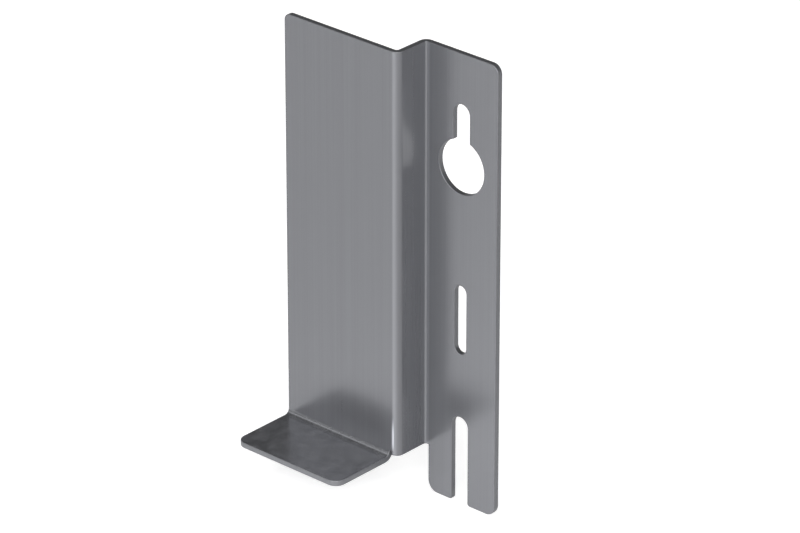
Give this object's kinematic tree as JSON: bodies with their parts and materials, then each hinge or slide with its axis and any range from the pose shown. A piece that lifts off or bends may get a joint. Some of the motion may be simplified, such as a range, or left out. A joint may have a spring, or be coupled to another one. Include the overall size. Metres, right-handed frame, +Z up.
{
  "type": "wall bracket",
  "caption": "Folded sheet-steel wall bracket: a raised panel with a small shelf at its foot, joined by a web to a wall plate with a keyhole, a slot and an open foot slot.",
  "frame": {"origin": "axis of the keyhole's round hole, on the face that lies against the wall", "axes": "+X to the right along the wall, from the raised panel to the wall plate; +Y into the wall; +Z up"},
  "size_m": [0.082, 0.0424, 0.1667],
  "materials": {
    "steel": "brushed along the height, satin, with plain cut edges"
  },
  "bodies": {
    "root": {"wall_bracket": "steel"}
  },
  "joints": []
}
